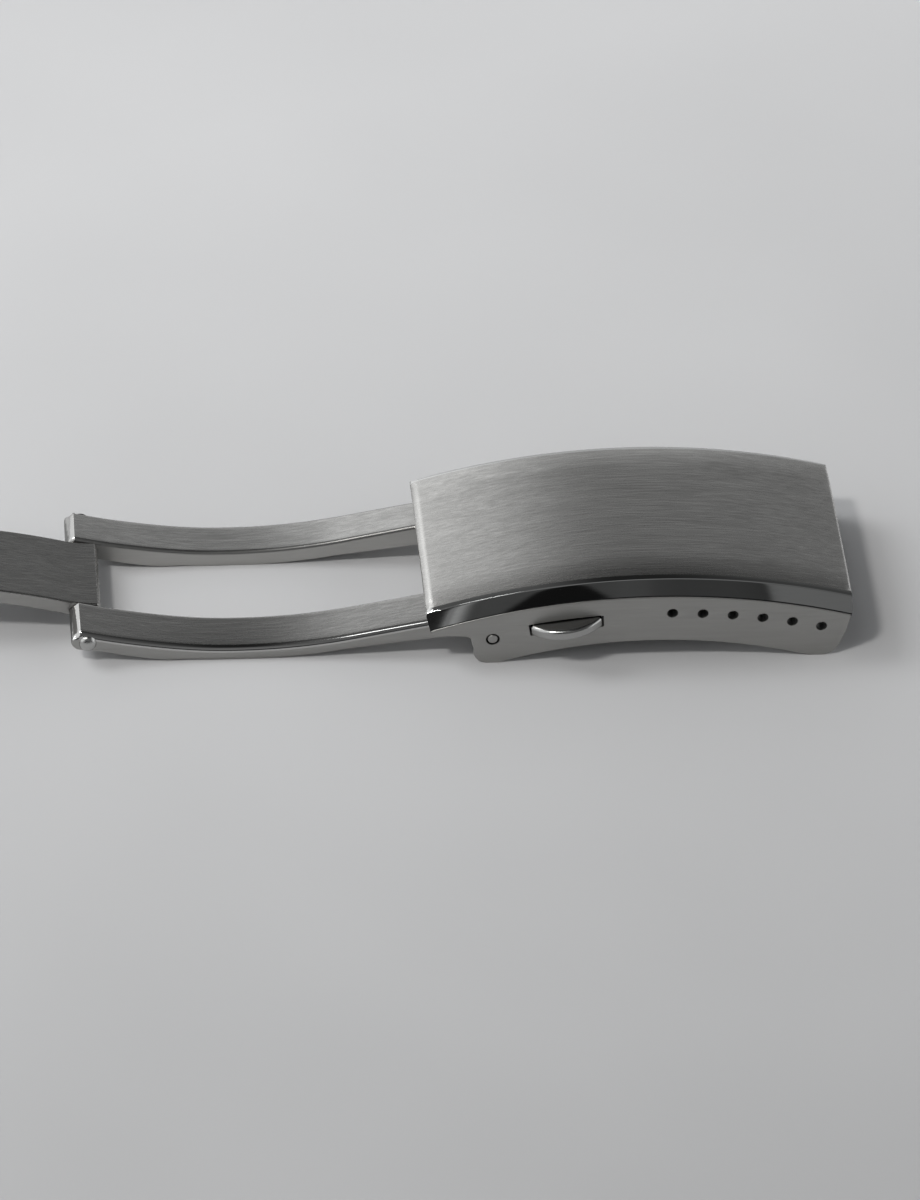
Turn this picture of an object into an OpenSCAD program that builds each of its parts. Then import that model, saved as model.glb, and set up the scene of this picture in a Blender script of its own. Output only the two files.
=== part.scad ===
// Deployant clasp for a watch bracelet: a curved cover with side push buttons,
// an outer blade with two arms on a barrel, and an inner blade that nests
// between the arms when the clasp is closed.
// The clasp is drawn open and laid flat, with the cover at the +X end.
// Millimetres. X runs along the bracelet, Y across it, Z up. Z = 0 is the
// surface the clasp lies on, and X = 0 is the middle of its whole length.

/* [Cover] */
// Width across the two cheeks
cover_w = 20; // [19.8:0.1:20.4]
// Radius of the arched top face
cover_r = 62.3; // [62.1:0.1:62.5]
// Height of the arch's crown above the resting plane
crown_z = 8.65; // [8.6:0.05:8.8]
// How far the top face falls away towards its long edges
crown_fall = 0.2; // [0.1:0.05:0.3]
// Thickness of the arched plate
plate_t = 1.4; // [1.2:0.1:1.5]
// Thickness of each cheek
cheek_t = 1.1; // [1.0:0.05:1.2]
// Width of the polished bevel along each long edge
bevel_b = 0.5; // [0.3:0.1:0.7]
// Height of the polished bevel along each long edge
bevel_h = 1.65; // [1.4:0.05:1.8]
// Radius of the adjustment holes
adjust_r = 0.45; // [0.4:0.05:0.5]
// Number of adjustment positions
adjust_n = 6; // [4:1:6]

/* [Blades] */
// Outer width of the outer blade
outer_w = 17.3; // [17:0.1:17.4]
// Width of the gap between the outer blade's arms
gap_w = 9.24; // [9.0:0.02:9.4]
// Width of the same gap beside the fold hinge, where the inner blade's knuckle fits
gap_end_w = 8.8; // [8.76:0.02:9.0]
// Width of the inner blade
inner_w = 8.6; // [8.2:0.1:8.6]
// Thickness of the arms at mid length
arm_t = 1.5; // [1.4:0.05:1.6]
// Thickness of the inner blade
inner_t = 1.4; // [1.3:0.05:1.45]

/* [Hinges] */
// Radius of the cover hinge pin
pin1_r = 0.5; // [0.45:0.05:0.5]
// Radius of the fold hinge pin
pin2_r = 0.45; // [0.4:0.05:0.45]
// Radius of the domed heads of the fold hinge pin
pin2_head_r = 0.75; // [0.65:0.05:0.8]
// Radius of the bore that takes the bracelet's spring bar
end_bore_r = 0.8; // [0.7:0.05:0.85]

/* [Latch] */
// Length of a push button's pad along the clasp
pad_l = 6.1; // [5.8:0.1:6.1]
// How far a button stands out from its cheek
pad_out = 1.5; // [1.2:0.1:1.6]
// Height of a push button's pad
pad_h = 0.94; // [0.9:0.02:0.96]
// Neck radius of the catch stud
stud_neck_r = 0.7; // [0.6:0.05:0.7]
// Head radius of the catch stud
stud_head_r = 1.2; // [1.1:0.05:1.25]
// Wire radius of the button springs
wire_r = 0.07; // [0.06:0.01:0.08]

/* [Hidden] */
$fn = 96;

steel = [0.62, 0.61, 0.60];
satin = [0.55, 0.55, 0.54];
bright = [0.72, 0.72, 0.73];

hw = cover_w / 2;                  // half width over the cheeks
yi = hw - cheek_t;                 // inner face of a cheek
arc_z = crown_z - cover_r;         // height of the arch's centre
r_in = cover_r - plate_t;          // underside of the arched plate
r_edge = cover_r - crown_fall;     // top face at its long edges
xs = 35.9;                         // moves the drawing so that X = 0 is its middle

// hinge axes, before the shift
h1 = [-13.9, 2.55];
h2 = [-48.45, 2.12];
e0 = [-87.3, 1.40];

// outer blade: the arms' top is an arc, concave upward
arm_r = 50.8;
arm_c = [-35.6, 52.25];
// inner blade: the top is an arc, convex upward
in_r = 58.5;
in_slope = 17.8;
in_top = 0.70;                     // top face above the fold hinge axis
in_c = [h2[0] - (in_r - in_top) * sin(in_slope), h2[1] - (in_r - in_top) * cos(in_slope)];
function in_z(x, r) = in_c[1] + sqrt(r * r - (x - in_c[0]) * (x - in_c[0]));

// latch cassette: local frame on the cover's radius
lat_a = -7.54;                     // angle from the crown
lat_r = 58.07;                     // radius of the button's middle line
screw_x = [-2.95, 3.15];           // screws, in the cassette's frame
screw_y = 3.6;
travel = 0.8;                      // stroke of a push button

function arc_pts(c, r, a0, a1, n) =
    [for (i = [0:n]) let (a = a0 + (a1 - a0) * i / n) [c[0] + r * cos(a), c[1] + r * sin(a)]];

module place() { translate([xs, 0, 0]) children(); }

// a flat outline in the X-Z plane, given a thickness across Y
module across(y0, y1) {
    translate([0, y1, 0]) rotate([90, 0, 0]) linear_extrude(height = y1 - y0) children();
}

// a pin, bore or barrel that runs across Y
module rod(c, r, y0, y1) {
    translate([c[0], y1, c[1]]) rotate([90, 0, 0]) cylinder(r = r, h = y1 - y0);
}

// a frame on the cover's arch: X tangent, Z radial
module on_arch(a, r) {
    translate([0, 0, arc_z]) rotate([0, a, 0]) translate([0, 0, r]) children();
}

// a section drawn as (radius, y), swept round the arch's centre
module arch_sweep(a0, a1) {
    translate([0, 0, arc_z]) rotate([90, 0, 0]) rotate([0, 0, 90 - a1])
        rotate_extrude(angle = a1 - a0, $fn = 360) children();
}

// ---------------------------------------------------------------- cover
module cover_outline() {
    difference() {
        polygon(concat(
            [[-19.10, 9.2]],
            arc_pts([-18.553, 4.46], 1.3, 107.6, 147.6, 6),
            [[-19.665, 5.06], [-19.62, 4.86], [-19.30, 3.50], [-19.14, 3.21]],
            [[-16.35, 2.95]],
            arc_pts([-16.31, 2.40], 0.55, 86, 12, 5),
            [[-15.55, 1.75]],
            arc_pts([-14.25, 1.28], 1.28, 170, 270, 8),
            arc_pts([14.55, 1.55], 1.55, 270, 345, 8),
            [[16.62, 2.70], [16.92, 4.38], [16.96, 9.2]]));
        translate([0, -43.66]) circle(r = 45.68, $fn = 360);
    }
}

module cover() place() color(steel) {
    difference() {
        intersection() {
            arch_sweep(-20.5, 18)
                polygon([[r_edge, -hw + bevel_b], [cover_r - 0.6 * crown_fall, -8.7], [cover_r - 0.15 * crown_fall, -7.6],
                         [cover_r, -6.4], [cover_r, 6.4],
                         [cover_r - 0.15 * crown_fall, 7.6], [cover_r - 0.6 * crown_fall, 8.7], [r_edge, hw - bevel_b],
                         [r_edge - bevel_h, hw], [50, hw], [50, yi],
                         [r_in, yi], [r_in, -yi], [50, -yi],
                         [50, -hw], [r_edge - bevel_h, -hw]]);
            across(-hw - 1, hw + 1) cover_outline();
        }
        // adjustment holes through both cheeks
        for (i = [0:adjust_n - 1])
            on_arch(1.42 + 2.561 * i, 58.59) rotate([90, 0, 0])
                cylinder(r = adjust_r, h = cover_w + 2, center = true);
        // cover hinge bore, with a small clearance ring at each outer face
        rod(h1, pin1_r + 0.01, -hw - 1, hw + 1);
        for (s = [-1, 1]) translate([h1[0], s * (hw - 0.15), h1[1]]) rotate([90, 0, 0])
            cylinder(r = pin1_r + 0.1, h = 0.32, center = true);
        // button windows
        for (s = [-1, 1])
            arch_sweep(-10.68, -4.40)
                translate([57.50, s > 0 ? yi - 0.4 : -hw - 0.4]) square([1.16, cheek_t + 0.8]);
        // threaded seats of the cassette screws
        for (sx = screw_x, sy = [-1, 1])
            on_arch(lat_a, lat_r) translate([sx, sy * screw_y, 0]) cylinder(r = 0.34, h = 3.45, $fn = 48);
    }
}

// ---------------------------------------------------------------- latch cassette
module cassette_body() place() color(satin) {
    on_arch(lat_a, lat_r) difference() {
        intersection() {
            union() {
                translate([-3.15, -8.75, -0.30]) cube([7.0, 17.5, 3.3]);
                translate([-3.6, -4.45, -0.30]) cube([7.5, 8.9, 3.3]);
            }
            translate([0, 10, -lat_r]) rotate([90, 0, 0]) cylinder(r = r_in - 0.02, h = 20, $fn = 360);
        }
        // slide channels
        for (s = [-1, 1]) translate([-2.35, s > 0 ? 3.3 : -9.0, 0.14]) cube([4.7, 5.7, 1.22]);
        // button flange pockets
        for (s = [-1, 1]) translate([-3.7, s > 0 ? 7.15 : -9.0, -0.4]) cube([8.0, 1.85, 1.76]);
        // latch plane, open below
        translate([-2.45, -9.0, -0.5]) cube([4.9, 18.0, 0.76]);
        // room for the stud head
        translate([-1.7, -2.1, -0.5]) cube([3.6, 4.2, 2.4]);
        // screw passages
        for (sx = screw_x, sy = [-1, 1])
            translate([sx, sy * screw_y, -1]) cylinder(r = 0.35, h = 5, $fn = 48);
        // stop pin seats
        for (s = [-1, 1]) translate([3.1, s * 6.0, 0.75]) rotate([0, -90, 0])
            cylinder(r = 0.3, h = 2.2, $fn = 48);
    }
}

module cassette_plate() place() color(satin) {
    on_arch(lat_a, lat_r) difference() {
        translate([-3.6, -4.45, -0.72]) cube([7.5, 8.9, 0.40]);
        // stud opening
        translate([-1.7, -1.55, -1]) cube([3.6, 3.1, 1]);
        for (sx = screw_x, sy = [-1, 1]) translate([sx, sy * screw_y, 0]) {
            translate([0, 0, -1]) cylinder(r = 0.35, h = 1.2, $fn = 48);
            translate([0, 0, -0.80]) cylinder(r = 0.55, h = 0.30, $fn = 48);
        }
    }
}

module cassette_screws() place() color(bright) {
    for (sx = screw_x, sy = [-1, 1])
        on_arch(lat_a, lat_r) translate([sx, sy * screw_y, 0]) difference() {
            union() {
                translate([0, 0, -0.74]) cylinder(r = 0.53, h = 0.23, $fn = 48);
                translate([0, 0, -0.60]) cylinder(r = 0.33, h = 4.0, $fn = 48);
            }
            translate([-0.6, -0.06, -0.90]) cube([1.2, 0.12, 0.26]);
        }
}

// ---------------------------------------------------------------- push buttons
// drawn for the +Y side; the near button is its mirror image
module button() {
    on_arch(lat_a, lat_r) difference() {
        union() {
            // D-shaped pad
            intersection() {
                translate([-pad_l / 2, 8.2, -pad_h / 2]) cube([pad_l, 4, pad_h]);
                translate([0, hw + pad_out - 4.2, -2]) cylinder(r = 4.2, h = 4);
            }
            // flange behind the cheek
            translate([-3.45, 8.10, -0.02]) cube([6.9, 0.68, 1.24]);
            // slide block
            translate([-2.2, 4.6, 0.22]) cube([4.4, 3.7, 1.02]);
        }
        // spring pockets
        for (sx = [-1, 1]) translate([sx * 1.15, 6.6, 0.73]) rotate([90, 0, 0])
            cylinder(r = 0.42, h = 3, $fn = 48);
        // stop slot
        translate([1.7, 5.55, 0.40]) cube([0.8, 1.75, 0.7]);
        // rivet bore
        translate([0, 7.1, -0.5]) cylinder(r = 0.36, h = 2.4, $fn = 48);
    }
}

// hook plate under a button: it reaches past the stud and holds it from behind
module latch() {
    difference() {
        union() {
            translate([-2.0, 5.0, -0.26]) cube([4.0, 3.0, 0.46]);
            translate([-2.3, -1.75, -0.26]) cube([1.0, 7.5, 0.46]);
            translate([-2.3, -1.75, -0.26]) cube([3.3, 0.9, 0.46]);
        }
        translate([0, 7.1, -1]) cylinder(r = 0.36, h = 2, $fn = 48);
    }
}

module latch_rivet() {
    on_arch(lat_a, lat_r) {
        translate([0, 7.1, -0.30]) cylinder(r = 0.35, h = 1.5, $fn = 48);
    }
}

module button_far() place() color(bright) button();
module button_near() place() color(bright) mirror([0, 1, 0]) button();
module latch_far() place() color(satin) on_arch(lat_a, lat_r) latch();
// the near hook runs on the other side of the stud
module latch_near() place() color(satin) on_arch(lat_a, lat_r) rotate([0, 0, 180]) latch();
module latch_rivet_far() place() color(bright) latch_rivet();
module latch_rivet_near() place() color(bright) mirror([0, 1, 0]) latch_rivet();

// coil springs between the buttons and the cassette's inner walls
module coil(r, wr, h, turns) {
    n = turns * 9;
    p = [for (i = [0:n]) let (a = 360 * i / 9)
        [r * cos(a), r * sin(a), wr + (h - 2 * wr) * i / n]];
    m = 5;
    pts = [for (i = [0:n]) let (a = 360 * i / 9, rise = atan2((h - 2 * wr) / turns, 2 * PI * r))
        for (j = [0:m - 1]) let (b = 360 * j / m)
            p[i] + wr * (cos(b) * [cos(a), sin(a), 0]
                 + sin(b) * [sin(rise) * sin(a), -sin(rise) * cos(a), cos(rise)])];
    faces = concat(
        [[for (j = [0:m - 1]) j]],
        [for (i = [0:n - 1]) for (j = [0:m - 1])
            each [[i * m + j, (i + 1) * m + j, (i + 1) * m + (j + 1) % m],
                  [i * m + j, (i + 1) * m + (j + 1) % m, i * m + (j + 1) % m]]],
        [[for (j = [m - 1:-1:0]) n * m + j]]);
    polyhedron(points = pts, faces = faces, convexity = 6);
}

module springs() {
    on_arch(lat_a, lat_r) for (sx = [-1, 1])
        translate([sx * 1.15, 3.34, 0.73]) rotate([-90, 0, 0]) coil(0.28, wire_r, 3.2, 6);
}

module button_springs_far() place() color(bright) springs();
module button_springs_near() place() color(bright) mirror([0, 1, 0]) springs();

module button_stop_pins() place() color(bright) {
    for (s = [-1, 1]) on_arch(lat_a, lat_r)
        translate([3.05, s * 6.0, 0.75]) rotate([0, -90, 0]) cylinder(r = 0.29, h = 1.2, $fn = 48);
}

// ---------------------------------------------------------------- hinges and blades
module cover_hinge_pin() place() color(bright) rod(h1, pin1_r, -hw + 0.02, hw - 0.02);

module fold_hinge_pin() place() color(bright) {
    rod(h2, pin2_r, -outer_w / 2 - 0.05, outer_w / 2 + 0.05);
    // domed heads
    for (s = [-1, 1]) translate([h2[0], s * outer_w / 2, h2[1]]) rotate([-90 * s, 0, 0])
        rotate_extrude() intersection() {
            translate([0, -0.62]) circle(r = 1.02);
            translate([0, 0.01]) square([pin2_head_r, 0.6]);
        }
}

module arm_outline() {
    intersection() {
        union() {
            // arched part
            intersection() {
                translate(arm_c) difference() {
                    circle(r = arm_r + arm_t, $fn = 360);
                    circle(r = arm_r, $fn = 360);
                }
                polygon([[h2[0], -1], [-26.0, -1], [-26.0, 6], [h2[0], 6]]);
            }
            // rounded end round the fold hinge
            intersection() {
                translate(h2) circle(r = 1.43);
                translate(arm_c) difference() {
                    circle(r = 60, $fn = 360);
                    circle(r = arm_r, $fn = 360);
                }
                polygon([[h2[0] - 2, 1.88], [h2[0] - 1.33, 1.72], [h2[0] - 1.05, 1.49], [h2[0] - 0.72, 1.38], [h2[0] - 0.35, 1.35],
                         [h2[0] + 0.2, 1.33], [h2[0] + 2, 1.2], [h2[0] + 2, 5], [h2[0] - 2, 5]]);
            }
            polygon([[h2[0], 1.34], [-47.7, 1.24], [-46.9, 1.06], [-45.7, 0.77], [-44.6, 0.53], [-43.0, 0.24],
                     [-41.5, 0.06], [-39.8, 0], [-38.6, 0.3], [-45, 1.5], [h2[0], 2.4]]);
            // straight part towards the cover
            polygon([[-26.4, 2.30], [-25.2, 2.53], [-19.2, 3.75], [-17.9, 3.96], [-16.6, 4.02], [-15.2, 3.92],
                     [h1[0], 3.80], [h1[0], 1.30], [-15.2, 1.50], [-16.4, 1.80], [-17.6, 1.86],
                     [-19.5, 1.66], [-21.2, 1.46], [-22.8, 1.24], [-24.4, 1.02], [-26.4, 0.77]]);
            translate(h1) circle(r = 1.25);
        }
        // the arms' underside never goes below the resting plane
        translate([-60, 0]) square([60, 6]);
    }
}

// one arm; the gap between the two narrows towards the fold hinge
module arm(s) {
    difference() {
        across(s > 0 ? gap_end_w / 2 : -outer_w / 2, s > 0 ? outer_w / 2 : -gap_end_w / 2) arm_outline();
        translate([0, 0, -1]) linear_extrude(height = 8)
            polygon([[-44, s * gap_end_w / 2], [-37.5, s * gap_w / 2], [-12, s * gap_w / 2], [-12, s * 3], [-44, s * 3]]);
    }
}

module outer_blade() place() color(steel) {
    difference() {
        union() {
            for (s = [-1, 1]) arm(s);
            rod(h1, 1.25, -outer_w / 2, outer_w / 2);
        }
        rod(h1, pin1_r + 0.05, -12, 12);
        rod(h2, pin2_r + 0.01, -12, 12);
    }
}

module inner_outline() {
    difference() {
        union() {
            // arched part
            intersection() {
                translate(in_c) difference() {
                    circle(r = in_r, $fn = 360);
                    circle(r = in_r - inner_t, $fn = 360);
                }
                polygon([[h2[0] + 0.3, h2[1] + 1.2], [h2[0] - 0.3, h2[1] - 1.6], [e0[0] + 0.4, -0.5], [e0[0] + 0.4, 9], [h2[0] - 0.5, 9]]);
            }
            // knuckle round the fold hinge
            translate(h2) circle(r = 1.32);
            // end barrel
            translate(e0) circle(r = 1.4);
            polygon([[e0[0], e0[1] - 1.4], [e0[0] + 1.4, in_z(e0[0] + 1.4, in_r - inner_t)],
                     [e0[0] + 2.8, in_z(e0[0] + 2.8, in_r)], [e0[0] + 0.6, e0[1] + 1.26]]);
        }
        // the knuckle's top runs level with the blade's top face
        polygon([[h2[0] - 1.1, h2[1] + 1.11], [h2[0] - 0.4, h2[1] + 0.96], [h2[0] + 0.3, h2[1] + 0.88],
                 [h2[0] + 0.8, h2[1] + 0.86], [h2[0] + 2, h2[1] + 0.86], [h2[0] + 2, h2[1] + 3], [h2[0] - 1.1, h2[1] + 3]]);
    }
}

// place of the catch stud on the inner blade
stud_d = 27.95;                    // along X from the fold hinge
stud_x = h2[0] - stud_d;
stud_a = asin((stud_x - in_c[0]) / in_r);

module inner_blade() place() color(steel) {
    difference() {
        across(-inner_w / 2, inner_w / 2) inner_outline();
        rod(h2, pin2_r + 0.05, -12, 12);
        rod(e0, end_bore_r, -12, 12);
        translate([in_c[0], 0, in_c[1]]) rotate([0, stud_a, 0]) translate([0, 0, in_r - 3])
            cylinder(r = 0.56, h = 6, $fn = 48);
    }
}

module catch_stud() place() color(bright) {
    translate([in_c[0], 0, in_c[1]]) rotate([0, stud_a, 0]) translate([0, 0, in_r]) {
        translate([0, 0, -inner_t]) cylinder(r = 0.55, h = inner_t + 0.3, $fn = 48);
        rotate_extrude() polygon([[0, 0.01], [1.05, 0.01], [1.05, 0.25], [stud_neck_r, 0.45],
            [stud_neck_r, 1.62], [stud_head_r, 1.72], [stud_head_r, 1.90], [0.98, 2.32], [0.45, 2.58], [0, 2.62]]);
    }
}

// ---------------------------------------------------------------- assembly
cover();
cassette_body();
cassette_plate();
cassette_screws();
button_near();
button_far();
latch_near();
latch_far();
latch_rivet_near();
latch_rivet_far();
button_springs_near();
button_springs_far();
button_stop_pins();
cover_hinge_pin();
outer_blade();
fold_hinge_pin();
inner_blade();
catch_stud();
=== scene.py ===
import math

import bmesh
import bpy
from mathutils import Matrix, Vector
from mathutils.geometry import tessellate_polygon


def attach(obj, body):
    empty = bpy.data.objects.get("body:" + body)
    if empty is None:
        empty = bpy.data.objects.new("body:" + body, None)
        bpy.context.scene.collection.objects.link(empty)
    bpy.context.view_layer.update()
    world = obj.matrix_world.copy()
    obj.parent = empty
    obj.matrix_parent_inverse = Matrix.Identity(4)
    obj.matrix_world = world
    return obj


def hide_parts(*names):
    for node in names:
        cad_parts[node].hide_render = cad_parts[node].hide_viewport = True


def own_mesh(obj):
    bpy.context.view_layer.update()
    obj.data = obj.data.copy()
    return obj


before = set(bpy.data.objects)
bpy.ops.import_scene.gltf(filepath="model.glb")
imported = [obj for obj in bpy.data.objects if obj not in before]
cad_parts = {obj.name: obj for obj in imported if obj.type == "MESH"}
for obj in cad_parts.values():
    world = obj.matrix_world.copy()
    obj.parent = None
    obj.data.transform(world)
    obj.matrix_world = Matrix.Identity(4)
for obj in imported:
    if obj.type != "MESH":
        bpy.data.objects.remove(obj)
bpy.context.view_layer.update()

# ------------------------------------------------------------------ sizes, in millimetres, as the CAD has them
MM = 0.001
XS = 35.9
ARC_Z = 8.45 - 62.1
COVER_R = 62.1  # at the long edges; the crown is 0.2 higher
CROWN_R = 62.3
H1 = (-13.9, 2.55)
H2 = (-48.45, 2.12)
E0 = (-87.3, 1.40)
ARM_R, ARM_C = 50.8, (-35.6, 52.25)
IN_R, IN_SLOPE, IN_TOP, IN_T = 58.5, math.radians(17.8), 0.70, 1.4
IN_C = (H2[0] - (IN_R - IN_TOP) * math.sin(IN_SLOPE), H2[1] - (IN_R - IN_TOP) * math.cos(IN_SLOPE))
LAT_A, LAT_R = math.radians(-7.54), 58.07
STUD_X = H2[0] - 27.95


# ------------------------------------------------------------------ 2-D helpers
def arc(c, r, a0, a1, n):
    return [
        (c[0] + r * math.cos(math.radians(a0 + (a1 - a0) * i / n)), c[1] + r * math.sin(math.radians(a0 + (a1 - a0) * i / n)))
        for i in range(n + 1)
    ]


def circle_z(c, r, x, side):
    return c[1] + side * math.sqrt(r * r - (x - c[0]) ** 2)


def clean(points, eps=1e-4):
    out = []
    for p in points:
        if not out or math.dist(out[-1], p) > eps:
            out.append(p)
    if math.dist(out[0], out[-1]) <= eps:
        out.pop()
    return out


def area(points):
    return 0.5 * sum(
        points[i][0] * points[(i + 1) % len(points)][1] - points[(i + 1) % len(points)][0] * points[i][1]
        for i in range(len(points))
    )


def ccw(points):
    return points if area(points) > 0 else points[::-1]


def rounded(points, radii, steps=5):
    """Corners named in radii (index: radius) become arcs."""
    n, out = len(points), []
    for i, p in enumerate(points):
        r = radii.get(i, 0)
        if r <= 0:
            out.append(p)
            continue
        a, b = Vector(points[i - 1]), Vector(points[(i + 1) % n])
        c = Vector(p)
        u, v = (a - c).normalized(), (b - c).normalized()
        half = math.acos(max(-1, min(1, u.dot(v)))) / 2
        t = min(r / math.tan(half), 0.45 * (a - c).length, 0.45 * (b - c).length)
        r = t * math.tan(half)
        centre = c + (u + v).normalized() * (r / math.sin(half))
        s, e = c + u * t - centre, c + v * t - centre
        a0, a1 = math.atan2(s.y, s.x), math.atan2(e.y, e.x)
        d = (a1 - a0 + math.pi) % (2 * math.pi) - math.pi
        out += [(centre.x + r * math.cos(a0 + d * k / steps), centre.y + r * math.sin(a0 + d * k / steps)) for k in range(steps + 1)]
    return out


def dense(points, step):
    """Adds points so that no side is longer than step."""
    out = []
    for i, p in enumerate(points):
        q = points[(i + 1) % len(points)]
        k = max(1, int(math.ceil(math.dist(p, q) / step)))
        out += [(p[0] + (q[0] - p[0]) * j / k, p[1] + (q[1] - p[1]) * j / k) for j in range(k)]
    return out


def inset(points, d, weight=None):
    """Moves a loop towards the material, which lies on its left."""
    n, out = len(points), []
    for i, p in enumerate(points):
        a, b = Vector(points[i - 1]), Vector(points[(i + 1) % n])
        c = Vector(p)
        e0, e1 = (c - a).normalized(), (b - c).normalized()
        n0, n1 = Vector((-e0.y, e0.x)), Vector((-e1.y, e1.x))
        m = n0 + n1
        if m.length < 1e-6:
            m = n0
        m.normalize()
        k = d / max(0.5, m.dot(n0)) * (weight(*p) if weight else 1.0)
        out.append((p[0] + m.x * k, p[1] + m.y * k))
    return out


# ------------------------------------------------------------------ meshes
def side_xz(u, v, w):
    """Outline in X-Z, thickness across Y."""
    return Vector((u + XS, w, v))


def lat_uv(u, v, w):
    """The latch cassette's own frame: u along the clasp, v across it, w outward."""
    return Vector(
        (
            u * math.cos(LAT_A) + (w + LAT_R) * math.sin(LAT_A) + XS,
            v,
            -u * math.sin(LAT_A) + (w + LAT_R) * math.cos(LAT_A) + ARC_Z,
        )
    )


class Maker:
    def __init__(self, name):
        self.name = name
        self.bm = bmesh.new()

    def ring(self, pts):
        return [self.bm.verts.new(p * MM) for p in pts]

    def skin(self, a, b, mat=0, closed=True):
        n = len(a)
        for i in range(n if closed else n - 1):
            j = (i + 1) % n
            try:
                f = self.bm.faces.new((a[i], a[j], b[j], b[i]))
                f.material_index = mat
            except ValueError:
                pass

    def cap(self, rings, mat=0):
        loops = [[v.co.copy() for v in r] for r in rings]
        flat = [v for r in rings for v in r]
        for t in tessellate_polygon(loops):
            vs = [flat[i] for i in t]
            if len(set(vs)) == 3:
                try:
                    f = self.bm.faces.new(vs)
                    f.material_index = mat
                except ValueError:
                    pass

    def prism(self, outer, holes, w0, w1, f0=0.1, f1=0.1, place=side_xz, steps=4, mats=(0, 0, 0), hole_f=None, layers=None, hole_mat=None, weight=None, edges=None):
        """A plate with rounded edges. mats: wall, low cap, high cap. layers: own list of (w, inset). edges: spans at the low and high face, material."""
        loops = [ccw(clean(outer))] + [ccw(clean(h))[::-1] for h in holes]
        if layers is None:
            # a round of radius f0 at the low face and f1 at the high face
            layers = []
            for k in range(0, steps + 1):
                q = math.radians(90 * k / steps)
                layers.append((w0 + f0 * (1 - math.cos(q)), f0 * (1 - math.sin(q))))
            for k in range(steps, -1, -1):
                q = math.radians(90 * k / steps)
                layers.append((w1 - f1 * (1 - math.cos(q)), f1 * (1 - math.sin(q))))
        most = max(d for _w, d in layers)
        rings = []
        for w, d in layers:
            row = []
            for i, loop in enumerate(loops):
                dd = d if i == 0 or hole_f is None else d * hole_f / most
                row.append(self.ring([place(u, v, w) for u, v in inset(loop, dd, weight if i == 0 else None)]))
            rings.append(row)
        for k in range(len(rings) - 1):
            for i in range(len(loops)):
                wall = mats[0] if i == 0 or hole_mat is None else hole_mat
                if edges and i == 0 and (k < edges[0] or k >= len(rings) - 1 - edges[1]):
                    wall = edges[2]
                self.skin(rings[k][i], rings[k + 1][i], wall)
        self.cap(rings[0], mats[1])
        self.cap(rings[-1], mats[2])

    def turned(self, profile, place, n=48, mat=0):
        """A profile of (radius, height) turned about the w axis of place."""
        rings = []
        for r, h in profile:
            if r < 1e-6:
                rings.append([self.bm.verts.new(place(0, 0, h) * MM)])
            else:
                rings.append(self.ring([place(r * math.cos(2 * math.pi * i / n), r * math.sin(2 * math.pi * i / n), h) for i in range(n)]))
        for a, b in zip(rings, rings[1:]):
            if len(a) == 1 and len(b) == 1:
                continue
            if len(a) == 1 or len(b) == 1:
                tip, rim = (a[0], b) if len(a) == 1 else (b[0], a)
                for i in range(n):
                    self.bm.faces.new((tip, rim[i], rim[(i + 1) % n])).material_index = mat
            else:
                self.skin(a, b, mat)

    def finish(self, body, nodes, mats, weld=2e-7, sharp=None):
        bmesh.ops.remove_doubles(self.bm, verts=self.bm.verts, dist=weld)
        bmesh.ops.recalc_face_normals(self.bm, faces=self.bm.faces)
        for f in self.bm.faces:
            f.smooth = True
        uv = self.bm.loops.layers.uv.new("Brush")
        for f in self.bm.faces:
            nx, ny, nz = (abs(c) for c in f.normal)
            for loop in f.loops:
                x, y, z = loop.vert.co / MM
                if ny >= nz and ny >= nx:
                    loop[uv].uv = (z / 20, x / 20)
                elif nz >= nx:
                    loop[uv].uv = (y / 20, x / 20)
                else:
                    loop[uv].uv = (y / 20, z / 20)
        me = bpy.data.meshes.new(self.name)
        self.bm.to_mesh(me)
        self.bm.free()
        ob = bpy.data.objects.new(self.name, me)
        bpy.context.scene.collection.objects.link(ob)
        for m in mats:
            me.materials.append(m)
        if sharp:
            me.set_sharp_from_angle(angle=math.radians(sharp))
        mod = ob.modifiers.new("even_normals", "WEIGHTED_NORMAL")
        mod.keep_sharp = True
        mod.weight = 50
        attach(ob, body)
        if nodes:
            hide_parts(*nodes)
        return ob


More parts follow.
